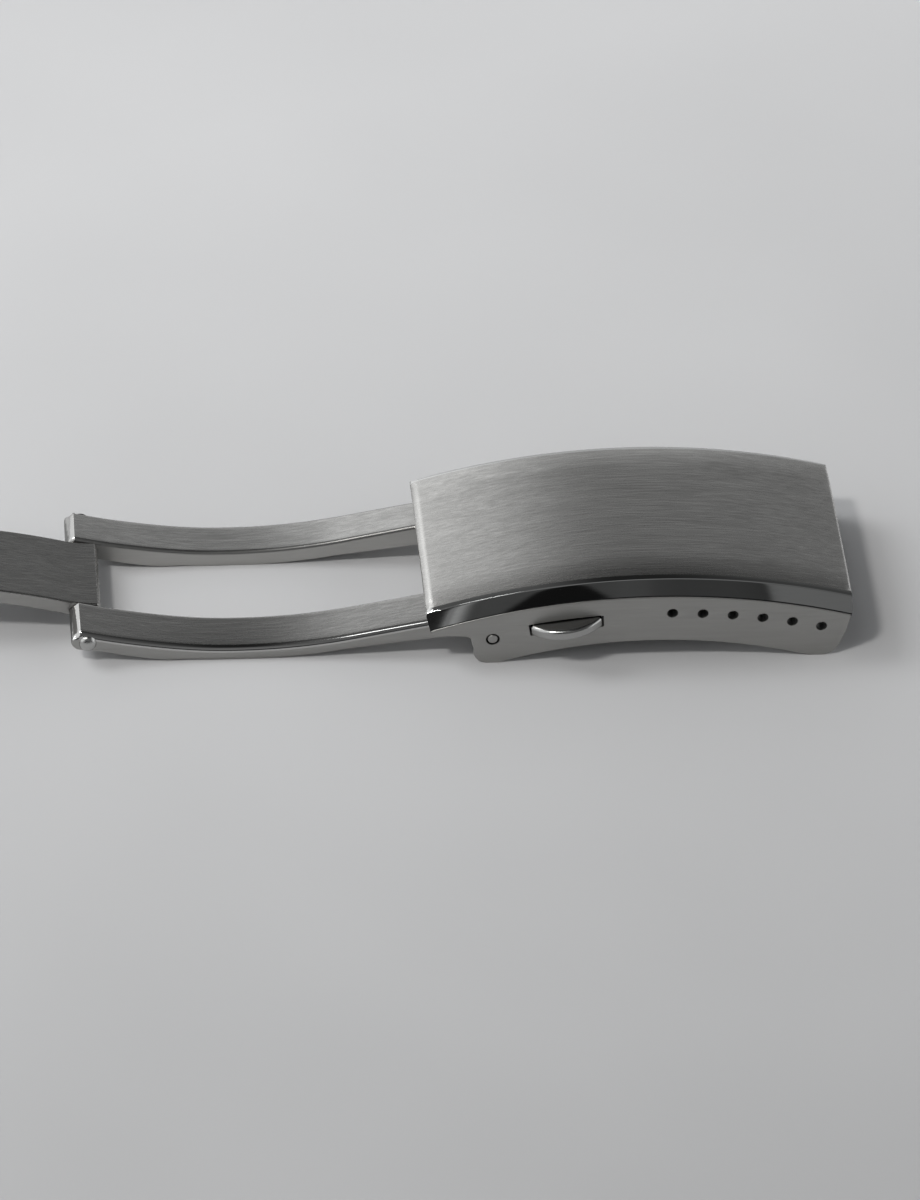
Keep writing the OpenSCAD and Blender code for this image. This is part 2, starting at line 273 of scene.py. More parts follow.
# ------------------------------------------------------------------ materials
def material(name, colour, rough, metallic=1.0, aniso=0.0, streak=None, dash=0.0, spec=None):
    """Metal with streaks that run along X. streak: (along /mm, across /mm, colour swing, roughness swing, bump in micrometres)."""
    m = bpy.data.materials.new(name)
    m.use_nodes = True
    nt = m.node_tree
    nt.nodes.clear()
    out = nt.nodes.new("ShaderNodeOutputMaterial")
    p = nt.nodes.new("ShaderNodeBsdfPrincipled")
    nt.links.new(p.outputs[0], out.inputs[0])
    p.inputs["Metallic"].default_value = metallic
    if spec is not None:
        p.inputs["Specular IOR Level"].default_value = spec
    if aniso:
        p.inputs["Anisotropic"].default_value = aniso
        t = nt.nodes.new("ShaderNodeTangent")
        t.direction_type = "UV_MAP"
        t.uv_map = "Brush"
        nt.links.new(t.outputs[0], p.inputs["Tangent"])
    tc = nt.nodes.new("ShaderNodeTexCoord")

    def noise(scale, detail, rough_, seed):
        mp = nt.nodes.new("ShaderNodeMapping")
        mp.inputs["Scale"].default_value = [s * 1000 for s in scale]
        mp.inputs["Location"].default_value = (seed, seed * 1.7, seed * 0.3)
        nt.links.new(tc.outputs["Object"], mp.inputs["Vector"])
        n = nt.nodes.new("ShaderNodeTexNoise")
        n.inputs["Scale"].default_value = 1.0
        n.inputs["Detail"].default_value = detail
        n.inputs["Roughness"].default_value = rough_
        nt.links.new(mp.outputs[0], n.inputs["Vector"])
        return n.outputs["Fac"]

    def ranged(value, a, b, lo, hi):
        r = nt.nodes.new("ShaderNodeMapRange")
        r.inputs["From Min"].default_value = a
        r.inputs["From Max"].default_value = b
        r.inputs["To Min"].default_value = lo
        r.inputs["To Max"].default_value = hi
        nt.links.new(value, r.inputs["Value"])
        return r.outputs["Result"]

    def maths(op, a, b):
        n = nt.nodes.new("ShaderNodeMath")
        n.operation = op
        for i, v in enumerate((a, b)):
            if isinstance(v, (int, float)):
                n.inputs[i].default_value = v
            else:
                nt.links.new(v, n.inputs[i])
        return n.outputs[0]

    along, across, swing, rswing, bump = streak
    fine = noise((along, across, across), 3.0, 0.6, 3.1)
    wide = noise((along * 0.35, across * 0.3, across * 0.3), 2.0, 0.5, 11.7)
    cloud = noise((0.13, 0.22, 0.22), 2.0, 0.5, 5.3)
    mix = maths("ADD", maths("MULTIPLY", fine, 0.62), maths("MULTIPLY", wide, 0.38))
    value = maths("ADD", ranged(mix, 0.3, 0.7, 1 - swing, 1 + swing), ranged(cloud, 0.3, 0.7, -0.03, 0.03))
    if dash:
        marks = noise((along * 0.8, across * 1.3, across * 1.3), 1.0, 0.4, 23.9)
        value = maths("ADD", value, ranged(marks, 0.66, 0.78, 0.0, dash))
    rgb = nt.nodes.new("ShaderNodeVectorMath")
    rgb.operation = "SCALE"
    rgb.inputs[0].default_value = colour
    nt.links.new(value, rgb.inputs["Scale"])
    nt.links.new(rgb.outputs[0], p.inputs["Base Color"])
    nt.links.new(ranged(mix, 0.3, 0.7, rough + rswing, rough - rswing), p.inputs["Roughness"])
    if bump:
        b = nt.nodes.new("ShaderNodeBump")
        b.inputs["Strength"].default_value = 1.0
        b.inputs["Distance"].default_value = bump * 1e-6
        nt.links.new(mix, b.inputs["Height"])
        nt.links.new(b.outputs[0], p.inputs["Normal"])
    return m


M_TOP = material("cover_brushed", (0.50, 0.492, 0.478), 0.27, aniso=0.72, streak=(0.30, 4.2, 0.145, 0.05, 19.0), dash=0.15)
M_BLADE = material("blade_brushed", (0.51, 0.503, 0.49), 0.27, aniso=0.66, streak=(0.42, 4.0, 0.16, 0.05, 21.0), dash=0.16)
M_STRIP = material("inner_blade_brushed", (0.335, 0.331, 0.322), 0.27, aniso=0.66, streak=(0.42, 4.0, 0.15, 0.05, 22.0), dash=0.13)
M_ROUND = material("arm_edge_polished", (0.50, 0.495, 0.485), 0.10, streak=(0.5, 5.0, 0.03, 0.02, 0.5))
# painted shade: the far arm's rounded edges get a darker colour (and more roughness) than the near arm's, so they show
# a dark line and no glint
M_FAR_EDGE_SHADE = material("far_arm_edge_satin_painted_shade", (0.36, 0.356, 0.348), 0.30, streak=(0.5, 5.0, 0.03, 0.03, 0.8))
# painted shade: the arms' end faces get a much darker colour than the rest of the blade
M_END_SHADE = material("arm_end_satin_painted_shade", (0.20, 0.198, 0.192), 0.40, streak=(2.0, 5.0, 0.05, 0.03, 1.0))
M_SIDE = material("blade_side_satin", (0.37, 0.366, 0.355), 0.38, aniso=0.5, streak=(0.25, 5.0, 0.035, 0.03, 1.5))
# painted light: the arms' sides that face the gap get a lighter colour than their outer sides, for the light that falls
# on them
M_GAP_LIT = material("arm_gap_satin_painted_light", (0.455, 0.45, 0.435), 0.38, aniso=0.5, streak=(0.25, 5.0, 0.035, 0.03, 1.5))
M_CHEEK = material("cheek_satin", (0.362, 0.358, 0.346), 0.38, aniso=0.5, streak=(0.25, 5.0, 0.035, 0.03, 1.5))
M_EDGE = material("edge_satin", (0.50, 0.495, 0.48), 0.22, streak=(0.5, 6.0, 0.03, 0.03, 1.0))
M_POLISH = material("bevel_polished", (0.62, 0.62, 0.61), 0.035, streak=(0.4, 5.0, 0.02, 0.01, 0.3))
M_BUTTON = material("button_polished", (0.39, 0.39, 0.382), 0.18, streak=(0.5, 5.0, 0.03, 0.03, 0.8))
M_PIN = material("pin_polished", (0.44, 0.44, 0.432), 0.25, streak=(1.0, 3.0, 0.03, 0.03, 0.5))
M_INNER = material("inner_satin", (0.31, 0.31, 0.303), 0.38, streak=(0.6, 3.5, 0.06, 0.06, 2.0))
M_WIRE = material("spring_wire", (0.50, 0.50, 0.49), 0.22, streak=(2.0, 2.0, 0.05, 0.05, 0.5))
M_DARK = material("groove_shade", (0.07, 0.07, 0.07), 0.55, streak=(1.0, 3.0, 0.05, 0.05, 0.5))
# painted shade: the walls of the holes get a dark colour for the shade inside them
M_BORE_SHADE = material("bore_wall_painted_shade", (0.16, 0.16, 0.155), 0.45, streak=(3.0, 3.0, 0.08, 0.05, 2.0))

# ------------------------------------------------------------------ cover: arched plate with bevels
LIP_X, LIP_R, LIP_END = -18.553, 1.3, 147.6
RX, RR = 16.95, 0.34


def left_side(r_top):
    """The lip's outline, up to where it runs into a top of the given radius."""
    z = ARC_Z + math.sqrt((r_top - LIP_R) ** 2 - LIP_X**2)
    a = math.degrees(math.atan2(z - ARC_Z, LIP_X))
    tip = arc((LIP_X, z), LIP_R, LIP_END, a, 20)
    edge = [(-19.08, 3.10), (-19.29, 3.60), (tip[0][0] + 0.055, tip[0][1] - 0.26), (tip[0][0] + 0.012, tip[0][1] - 0.13), (tip[0][0] - 0.006, tip[0][1] - 0.05)]
    return edge + tip


def right_side(r_top):
    x = RX - RR
    z = ARC_Z + math.sqrt((r_top - RR) ** 2 - x**2)
    a = math.degrees(math.atan2(z - ARC_Z, x))
    return arc((x, z), RR, a, 0, 12) + [(16.94, 4.38), (16.84, 3.60), (16.70, 3.0)]


def radius_of(p):
    return math.hypot(p[0], p[1] - ARC_Z)


def cut_path(path, r, rising):
    """The point where a side path crosses radius r, and the path between the two radii."""
    for i in range(len(path) - 1):
        ra, rb = radius_of(path[i]), radius_of(path[i + 1])
        if (ra - r) * (rb - r) <= 0 and ra != rb:
            t = (r - ra) / (rb - ra)
            p = (path[i][0] + (path[i + 1][0] - path[i][0]) * t, path[i][1] + (path[i + 1][1] - path[i][1]) * t)
            return i + t, p
    return (len(path) - 1.0, path[-1]) if rising else (0.0, path[0])


def along(path, s0, s1, n):
    """n + 1 points between two places on a path, evenly by length."""
    pts = []
    for k in range(241):
        s = s0 + (s1 - s0) * k / 240
        i = min(int(s), len(path) - 2)
        t = s - i
        pts.append((path[i][0] + (path[i + 1][0] - path[i][0]) * t, path[i][1] + (path[i + 1][1] - path[i][1]) * t))
    lengths = [0.0]
    for a, b in zip(pts, pts[1:]):
        lengths.append(lengths[-1] + math.dist(a, b))
    out, j = [], 0
    for k in range(n + 1):
        want = lengths[-1] * k / n
        while j < len(lengths) - 2 and lengths[j + 1] < want:
            j += 1
        span = lengths[j + 1] - lengths[j]
        t = 0 if span == 0 else (want - lengths[j]) / span
        out.append((pts[j][0] + (pts[j + 1][0] - pts[j][0]) * t, pts[j][1] + (pts[j + 1][1] - pts[j][1]) * t))
    return out


N_SIDE, N_TOP, N_UNDER = 16, 72, 36


def plate_loop(r_top, r_under):
    path_l, path_r = left_side(max(r_top, COVER_R)), right_side(max(r_top, COVER_R))
    sl0, _ = cut_path(path_l, r_under, True)
    sr1, _ = cut_path(path_r, r_under, False)
    if r_top >= COVER_R:
        sl1, sr0 = len(path_l) - 1.0, 0.0
    else:
        sl1, _ = cut_path(path_l, r_top, True)
        sr0, _ = cut_path(path_r, r_top, False)
    left = along(path_l, sl0, sl1, N_SIDE)
    right = along(path_r, sr0, sr1, N_SIDE)
    a0 = math.atan2(left[-1][0], left[-1][1] - ARC_Z)
    a1 = math.atan2(right[0][0], right[0][1] - ARC_Z)
    rt0, rt1 = radius_of(left[-1]), radius_of(right[0])
    top = []
    for k in range(1, N_TOP):
        t = k / N_TOP
        a, r = a0 + (a1 - a0) * t, rt0 + (rt1 - rt0) * t
        top.append((r * math.sin(a), ARC_Z + r * math.cos(a)))
    b0 = math.atan2(right[-1][0], right[-1][1] - ARC_Z)
    b1 = math.atan2(left[0][0], left[0][1] - ARC_Z)
    ru0, ru1 = radius_of(right[-1]), radius_of(left[0])
    under = []
    for k in range(1, N_UNDER):
        t = k / N_UNDER
        a, r = b0 + (b1 - b0) * t, ru0 + (ru1 - ru0) * t
        under.append((r * math.sin(a), ARC_Z + r * math.cos(a)))
    return left + top + right + under


# half section, from the middle to the groove under the bevel: |y|, top radius, underside radius
EDGE_Y = 9.30
BAND_LOW = (9.985, 60.52)


def top_r(y):
    t = max(0.0, (y - (EDGE_Y - 3.3)) / 3.3)
    return CROWN_R - 0.09 * (y / EDGE_Y) ** 2 - 0.24 * t**2.2 - 0.35 * max(0.0, y - 9.0) ** 2


section = [(0.0, CROWN_R), (2.0, top_r(2.0)), (4.0, top_r(4.0))]
section += [(y, top_r(y)) for y in (5.0, 5.6, 6.2, 6.7, 7.1, 7.5, 7.85, 8.15, 8.4, 8.6, 8.8, 8.95, 9.08, 9.16, 9.22, 9.27)]
# small round over the edge between the top and the bevel
e0_, e1_ = Vector((9.27, top_r(9.27))), Vector((9.44, 61.815))
t0_ = Vector((1.0, -0.20)).normalized()
t1_ = Vector((BAND_LOW[0] - e1_.x, BAND_LOW[1] - e1_.y)).normalized()
for k in range(1, 9):
    q = k / 8
    h00, h10, h01, h11 = 2 * q**3 - 3 * q**2 + 1, q**3 - 2 * q**2 + q, -2 * q**3 + 3 * q**2, q**3 - q**2
    p_ = h00 * e0_ + h10 * 0.31 * t0_ + h01 * e1_ + h11 * 0.31 * t1_
    section.append((p_.x, p_.y))
for k in range(1, 9):
    q = k / 8
    y = e1_.x + (BAND_LOW[0] - e1_.x) * q
    r = e1_.y + (BAND_LOW[1] - e1_.y) * q
    bulge = 0.004 * 4 * q * (1 - q)
    section.append((y + bulge, r + bulge * 0.3))
section += [(9.955, 60.50), (9.91, 60.48), (9.86, 60.46)]


def under_r(y):
    return 60.9 if y <= 8.88 else 60.25


cover = Maker("cover_shell")
rows = []
half = [(y, r, under_r(y)) for y, r in section]
layers = [(-y, r, u) for y, r, u in reversed(half)] + [(y, r, u) for y, r, u in half[1:]]
for y, r, u in layers:
    rows.append(cover.ring([side_xz(px, pz, y) for px, pz in plate_loop(r, u)]))
rows_r = [layer[1] for layer in layers]
for k in range(len(rows) - 1):
    ya, yb = abs(layers[k][0]), abs(layers[k + 1][0])
    mid = (ya + yb) / 2
    n = len(rows[k])
    for i in range(n):
        j = (i + 1) % n
        f = cover.bm.faces.new((rows[k][i], rows[k][j], rows[k + 1][j], rows[k + 1][i]))
        outer_face = i < N_SIDE + N_TOP + N_SIDE
        if not outer_face:
            f.material_index = 2
        elif min(rows_r[k], rows_r[k + 1]) < 60.515:
            f.material_index = 3
        elif mid > 9.0:
            f.material_index = 1
        elif i >= N_SIDE + N_TOP + 3:
            f.material_index = 5
        else:
            f.material_index = 0
cover.cap([rows[0]], 3)
cover.cap([rows[-1]], 3)


# cheeks
def cheek_outline():
    lower = [(-19.19, 3.36), (-19.12, 3.23), (-19.02, 3.19)]
    pts = lower + [(-16.40, 2.955)] + arc((-16.31, 2.40), 0.55, 88, 12, 6) + [(-15.60, 1.85)]
    pts += arc((-14.25, 1.28), 1.28, 168, 270, 12)
    # bottom arch
    x0 = -math.sqrt(45.68**2 - 43.66**2)
    a0, a1 = math.atan2(43.66, x0), math.atan2(43.66, -x0)
    pts += [(45.68 * math.cos(a0 + (a1 - a0) * k / 60), -43.66 + 45.68 * math.sin(a0 + (a1 - a0) * k / 60)) for k in range(61)]
    pts += arc((14.55, 1.55), 1.55, 270, 345, 10) + [(16.60, 2.66), (16.86, 4.10)]
    r = 60.37
    x_r, x_l = 16.90, -19.24
    b0, b1 = math.asin(x_r / r), math.asin(x_l / r)
    pts += [(r * math.sin(b0 + (b1 - b0) * k / 60), ARC_Z + r * math.cos(b0 + (b1 - b0) * k / 60)) for k in range(61)]
    return pts


def hole(c, r, n=32):
    return [(c[0] + r * math.cos(2 * math.pi * i / n), c[1] + r * math.sin(2 * math.pi * i / n)) for i in range(n)]


def polar(a, r):
    return (r * math.sin(math.radians(a)), ARC_Z + r * math.cos(math.radians(a)))


def window(grow=0.0):
    r0, r1, a0, a1 = 57.50 - grow, 58.66 + grow, -10.68 - grow, -4.40 + grow
    low = [polar(a0 + (a1 - a0) * k / 14, r0) for k in range(15)]
    high = [polar(a1 + (a0 - a1) * k / 14, r1) for k in range(15)]
    return rounded(low + high, {0: 0.12, 14: 0.12, 15: 0.12, 29: 0.12}, 4)


cheek_loops = [hole(polar(1.42 + 2.561 * i, 58.59), 0.45) for i in range(6)] + [window(), hole(H1, 0.575, 40)]
for s in (-1, 1):
    lo, hi = (8.9, 9.975)
    if s > 0:
        cover.prism(cheek_outline(), cheek_loops, lo, hi, 0.05, 0.07, mats=(4, 2, 5), hole_f=0.03, hole_mat=6, edges=(0, 4, 5))
    else:
        cover.prism(cheek_outline(), cheek_loops, -hi, -lo, 0.07, 0.05, mats=(4, 5, 2), hole_f=0.03, hole_mat=6, edges=(4, 0, 5))
cover_ob = cover.finish("cover", ["cover"], [M_TOP, M_POLISH, M_INNER, M_DARK, M_EDGE, M_CHEEK, M_BORE_SHADE], sharp=38)

# ------------------------------------------------------------------ cover hinge pin
pin1 = Maker("cover_hinge_pin_turned")


def across(c):
    return lambda u, v, w: Vector((c[0] + u + XS, w, c[1] + v))


end = [(0.0, 9.975), (0.36, 9.972), (0.405, 9.955), (0.43, 9.92), (0.435, 9.80), (0.5, 9.70)]
pin1.turned([(r, -h) for r, h in end] + [(r, h) for r, h in reversed(end)], across(H1), 40)
pin1.finish("cover", ["cover_hinge_pin"], [M_CHEEK], sharp=50)

# ------------------------------------------------------------------ outer blade


def arm_top(x):
    t = max(0.0, min(1.0, (-37.0 - x) / 8.0))
    return circle_z(ARM_C, ARM_R, x, -1) + 0.14 * t * t * (3 - 2 * t)


def arm_low(x):
    return max(0.0, circle_z(ARM_C, ARM_R + 1.5, x, -1))


def arm_outline():
    # where the eye meets the arms' top arc
    lo, hi = 95.0, 175.0
    for _ in range(60):
        mid = (lo + hi) / 2
        p = (H2[0] + 1.43 * math.cos(math.radians(mid)), H2[1] + 1.43 * math.sin(math.radians(mid)))
        if p[1] > arm_top(p[0]):
            lo = mid
        else:
            hi = mid
    eye_a = (lo + hi) / 2
    corner = (H2[0] + 1.43 * math.cos(math.radians(eye_a)), H2[1] + 1.43 * math.sin(math.radians(eye_a)))
    top = [(x, arm_top(x)) for x in [corner[0] + (-26.0 - corner[0]) * k / 60 for k in range(61)]]
    top += [(-25.2, 2.53), (-22.2, 3.14), (-19.2, 3.75), (-17.9, 3.96), (-16.6, 4.02), (-15.2, 3.92)]
    barrel = arc(H1, 1.25, 90, -90, 20)
    low = [(-15.2, 1.50), (-16.4, 1.80), (-17.6, 1.86), (-19.5, 1.66), (-21.2, 1.46), (-22.8, 1.24), (-24.4, 1.02)]
    low += [(x, arm_low(x)) for x in [-26.4 + (-39.8 + 26.4) * k / 36 for k in range(37)]]
    low += [(-41.5, 0.06), (-43.0, 0.24), (-44.6, 0.53), (-45.7, 0.77), (-46.9, 1.06), (-47.7, 1.24), (H2[0] + 0.1, 1.335), (H2[0] - 0.35, 1.35)]
    eye = [(H2[0] - 0.72, 1.39), (H2[0] - 1.0, 1.50), (H2[0] - 1.22, 1.68), (H2[0] - 1.37, 1.90)]
    eye += arc(H2, 1.43, 183, eye_a, 12)[::1]
    pts = top + barrel + low + eye[:-1]
    return rounded(pts, {0: 0.11}, 5)


outer = Maker("outer_blade_frame")
loops = [hole(H2, 0.46)]
arm_pts = dense(arm_outline(), 0.9)


def arm_weight(x, z):
    """Edges are well rounded along the top and nearly sharp along the underside."""
    mid = 2.75 if x > -16.5 else 0.5 * (arm_top(x) + arm_low(x)) if x < -26 else 0.21 * (x + 26) + 1.55
    t = max(0.0, min(1.0, (z - mid + 0.35) / 0.7))
    return 0.12 + 0.88 * t * t * (3 - 2 * t)


def arm_fall(y):
    return (y * y - 4.62**2) / 260


RI, RO = 0.30, 0.48
arm_layers = [(4.62 + RI * (1 - math.cos(math.radians(q))), RI * (1 - math.sin(math.radians(q)))) for q in (0, 12, 24, 36, 48, 60, 72, 82, 90)]
arm_layers += [(y, arm_fall(y)) for y in (5.2, 5.6, 6.0, 6.4, 6.8, 7.2, 7.6, 7.9)]
arm_layers += [(8.65 - RO + RO * math.sin(math.radians(q)), arm_fall(8.65 - RO) + RO * (1 - math.cos(math.radians(q))) + 0.05 * math.sin(math.radians(q))) for q in (0, 8, 16, 24, 32, 40, 50, 60, 70, 80, 90)]


def arm_place(u, v, w):
    """The gap between the arms narrows towards the fold hinge."""
    t = max(0.0, (-20.0 - u) / 28.45)
    k = max(0.0, min(1.0, 1 - (abs(w) - 4.62) / 1.4))
    return side_xz(u, v, w - math.copysign(0.21 * t * k, w))


outer.prism(arm_pts, loops, 0, 0, mats=(0, 1, 2), hole_f=0.03, layers=[(-w, d) for w, d in reversed(arm_layers)], place=arm_place, weight=arm_weight, edges=(9, 7, 3))
outer.prism(arm_pts, loops, 0, 0, mats=(0, 2, 1), hole_f=0.03, layers=arm_layers, place=arm_place, weight=arm_weight, edges=(7, 9, 4))
outer.turned([(0.55, -4.8), (1.25, -4.8), (1.25, 4.8), (0.55, 4.8), (0.55, -4.8)], across(H1), 48, 0)

# the arms' ends: satin, with painted shade (a dark colour) on the end faces, and a polished corner
for f in outer.bm.faces:
    f.normal_update()
    if f.calc_center_median().x / MM - XS < -49.1 and abs(f.normal.y) < 0.5:
        f.material_index = 5 if abs(f.normal.x) > 0.80 else 3 if abs(f.normal.x) > 0.30 else f.material_index
outer_ob = outer.finish("outer_blade", ["outer_blade"], [M_BLADE, M_SIDE, M_GAP_LIT, M_ROUND, M_FAR_EDGE_SHADE, M_END_SHADE], sharp=38)

# ------------------------------------------------------------------ fold hinge pin, with domed heads
pin2 = Maker("fold_hinge_pin_turned")
head = [(0.0, 9.05), (0.16, 9.037), (0.32, 9.0), (0.46, 8.94), (0.58, 8.87), (0.67, 8.79), (0.73, 8.70), (0.75, 8.655), (0.45, 8.60)]
pin2.turned([(r, -h) for r, h in head] + [(r, h) for r, h in reversed(head)], across(H2), 40)
pin2.finish("outer_blade", ["fold_hinge_pin"], [M_PIN], sharp=50)

# ------------------------------------------------------------------ inner blade


def in_z(x, r):
    return IN_C[1] + math.sqrt(r * r - (x - IN_C[0]) ** 2)


def inner_outline():
    # underside arc to the knuckle
    lo, hi = 180.0, 262.0
    for _ in range(60):
        mid = (lo + hi) / 2
        p = (H2[0] + 1.32 * math.cos(math.radians(mid)), H2[1] + 1.32 * math.sin(math.radians(mid)))
        if math.dist(p, IN_C) > IN_R - IN_T:
            lo = mid
        else:
            hi = mid
    low_a = (lo + hi) / 2
    xk = H2[0] + 1.32 * math.cos(math.radians(low_a))
    flat_a = math.degrees(math.asin(0.80 / 1.32))
    x0 = E0[0] + 1.4
    under = [(x, in_z(x, IN_R - IN_T)) for x in [x0 + (xk - x0) * k / 90 for k in range(91)]]
    knuckle = arc(H2, 1.32, low_a - 360, flat_a, 26)
    flat = [(H2[0] + 1.0 - 2.8 * k / 16, H2[1] + 1.276 - 0.282 * (2.8 - 2.8 * k / 16) + 0.045 * (2.8 - 2.8 * k / 16) ** 2) for k in range(16)]
    xt0, xt1 = H2[0] - 1.8, E0[0] + 2.8
    top = [(x, in_z(x, IN_R)) for x in [xt0 + (xt1 - xt0) * k / 90 for k in range(91)]]
    tail = [(E0[0] + 1.7, 2.97), (E0[0] + 0.6, E0[1] + 1.265)]
    barrel = arc(E0, 1.4, 76, 270, 30)
    return clean(under + knuckle[1:] + flat + top + tail + barrel)


inner = Maker("inner_blade_strip")
inner_pts = dense(inner_outline(), 0.9)
inner.prism(inner_pts, [hole(H2, 0.50), hole(E0, 0.80, 40)], -4.3, 4.3, 0.14, 0.14, mats=(0, 1, 1), hole_f=0.05, steps=5)
inner_ob = inner.finish("inner_blade", ["inner_blade"], [M_STRIP, M_SIDE], sharp=38)

# ------------------------------------------------------------------ catch stud
stud_a = math.asin((STUD_X - IN_C[0]) / IN_R)


def on_blade(u, v, w):
    return Vector(
        (
            IN_C[0] + u * math.cos(stud_a) + (w + IN_R) * math.sin(stud_a) + XS,
            v,
            IN_C[1] - u * math.sin(stud_a) + (w + IN_R) * math.cos(stud_a),
        )
    )


stud = Maker("catch_stud_turned")
stud.turned(
    [(0.0, -1.405), (0.50, -1.405), (0.55, -1.36), (0.55, 0.0), (1.03, 0.005), (1.05, 0.03), (1.05, 0.22), (1.02, 0.26), (0.74, 0.43),
     (0.70, 0.48), (0.70, 1.60), (0.73, 1.64), (1.16, 1.71), (1.20, 1.75), (1.20, 1.88), (1.17, 1.94), (1.0, 2.29), (0.9, 2.38),
     (0.50, 2.55), (0.30, 2.60), (0.0, 2.62)],
    on_blade, 48)
stud.finish("inner_blade", ["catch_stud"], [M_PIN], sharp=50)


# ------------------------------------------------------------------ push buttons
def button(name, s, node):
    b = Maker(name)
    r = 4.2
    c = 11.5 - r
    a = math.degrees(math.asin(3.05 / r))
    pad = [(-3.05, 8.7)] + [(r * math.sin(math.radians(-a + 2 * a * k / 30)), c + r * math.cos(math.radians(-a + 2 * a * k / 30))) for k in range(31)] + [(3.05, 8.7)]
    pad = rounded(pad, {1: 0.55, 31: 0.55}, 8)
    place = lambda u, v, w: lat_uv(u, s * v, w)
    b.prism(pad, [], -0.47, 0.47, 0.20, 0.30, place=place, steps=8, mats=(0, 0, 0))
    b.prism([(-3.45, 8.10), (3.45, 8.10), (3.45, 8.78), (-3.45, 8.78)], [], -0.02, 1.22, 0.05, 0.05, place=place, mats=(1, 1, 1))
    slide = [(-2.2, 4.6), (2.2, 4.6), (2.2, 5.55), (1.7, 5.55), (1.7, 7.30), (2.2, 7.30), (2.2, 8.3), (-2.2, 8.3)]
    b.prism(slide, [hole((0, 7.1), 0.36, 24)], 0.22, 1.24, 0.03, 0.03, place=place, mats=(1, 1, 1))
    return b.finish("button_" + node, ["button_" + node], [M_BUTTON, M_INNER], sharp=40)


button("button_near_pad", -1, "near")
button("button_far_pad", 1, "far")


# ------------------------------------------------------------------ springs, modelled at one length (in the clasp they shorten as a button goes in)
def spring(name, s, node):
    b = Maker(name)
    turns, r, wr, sides, per = 6, 0.28, 0.07, 10, 24
    for sx in (-1, 1):
        rings = []
        n = turns * per
        for i in range(n + 1):
            t = i / n
            # closed ends: the first and last turn lie almost flat
            q = t * turns
            e = 0.75
            if q < e:
                h = 0.04 * q / e
            elif q > turns - e:
                h = 1 - 0.04 * (turns - q) / e
            else:
                h = 0.04 + 0.92 * (q - e) / (turns - 2 * e)
            h = wr + (3.2 - 2 * wr) * h
            a = 2 * math.pi * q
            pts = []
            for j in range(sides):
                bta = 2 * math.pi * j / sides
                rr = r + wr * math.cos(bta)
                pts.append(lat_uv(sx * 1.15 + rr * math.cos(a), s * (3.34 + h + wr * math.sin(bta)), 0.73 + rr * math.sin(a)))
            rings.append(b.ring(pts))
        for p, q2 in zip(rings, rings[1:]):
            b.skin(p, q2)
        for ring in (rings[0], rings[-1]):
            b.bm.faces.new(ring)
    ob = b.finish("cover", ["button_springs_" + node], [M_WIRE])
    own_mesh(ob)


spring("button_springs_near_coil", -1, "near")
spring("button_springs_far_coil", 1, "far")

# ------------------------------------------------------------------ carried-over CAD nodes
for n, m in {
    "cassette_body": M_INNER, "cassette_plate": M_INNER, "cassette_screws": M_PIN, "button_stop_pins": M_PIN,
    "latch_near": M_INNER, "latch_far": M_INNER, "latch_rivet_near": M_PIN, "latch_rivet_far": M_PIN,
}.items():
    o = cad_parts[n]
    o.data.materials.clear()
    o.data.materials.append(m)

# ------------------------------------------------------------------ floor
bpy.ops.mesh.primitive_grid_add(x_subdivisions=2, y_subdivisions=2, size=4.0, location=(0, 0, 0))
floor = bpy.context.object
floor.name = "floor"
fm = bpy.data.materials.new("pale_table")
fm.use_nodes = True
fp = fm.node_tree.nodes["Principled BSDF"]
ftc = fm.node_tree.nodes.new("ShaderNodeTexCoord")
fn = fm.node_tree.nodes.new("ShaderNodeTexNoise")
fn.inputs["Scale"].default_value = 22.0
fn.inputs["Detail"].default_value = 2.0
fm.node_tree.links.new(ftc.outputs["Object"], fn.inputs["Vector"])
fr = fm.node_tree.nodes.new("ShaderNodeMapRange")
fr.inputs["From Min"].default_value = 0.3
fr.inputs["From Max"].default_value = 0.7
fr.inputs["To Min"].default_value = 0.97
fr.inputs["To Max"].default_value = 1.03
fm.node_tree.links.new(fn.outputs["Fac"], fr.inputs["Value"])


def fmath(op, a, b):
    n = fm.node_tree.nodes.new("ShaderNodeMath")
    n.operation = op
    for i, v in enumerate((a, b)):
        if isinstance(v, (int, float)):
            n.inputs[i].default_value = v
        else:
            fm.node_tree.links.new(v, n.inputs[i])
    return n.outputs[0]


fs = fm.node_tree.nodes.new("ShaderNodeSeparateXYZ")
fm.node_tree.links.new(ftc.outputs["Object"], fs.inputs[0])
# painted light: the table's colour is lighter towards the back and the left for the fall-off of the light, plus a
# little random mottle from the noise
mottle_and_painted_falloff = fmath("ADD", fmath("MULTIPLY", fmath("ADD", fs.outputs[1], 0.022), 2.7), fmath("MULTIPLY", fmath("SUBTRACT", fs.outputs[0], 0.02), -1.1))
mottle_and_painted_falloff = fmath("ADD", fmath("MINIMUM", fmath("MAXIMUM", mottle_and_painted_falloff, -0.22), 0.27), fr.outputs[0])
fv = fm.node_tree.nodes.new("ShaderNodeVectorMath")
fv.operation = "SCALE"
fv.inputs[0].default_value = (0.560, 0.560, 0.566)
fm.node_tree.links.new(mottle_and_painted_falloff, fv.inputs["Scale"])
fm.node_tree.links.new(fv.outputs[0], fp.inputs["Base Color"])
fp.inputs["Roughness"].default_value = 0.6
fp.inputs["Specular IOR Level"].default_value = 0.25
floor.data.materials.append(fm)

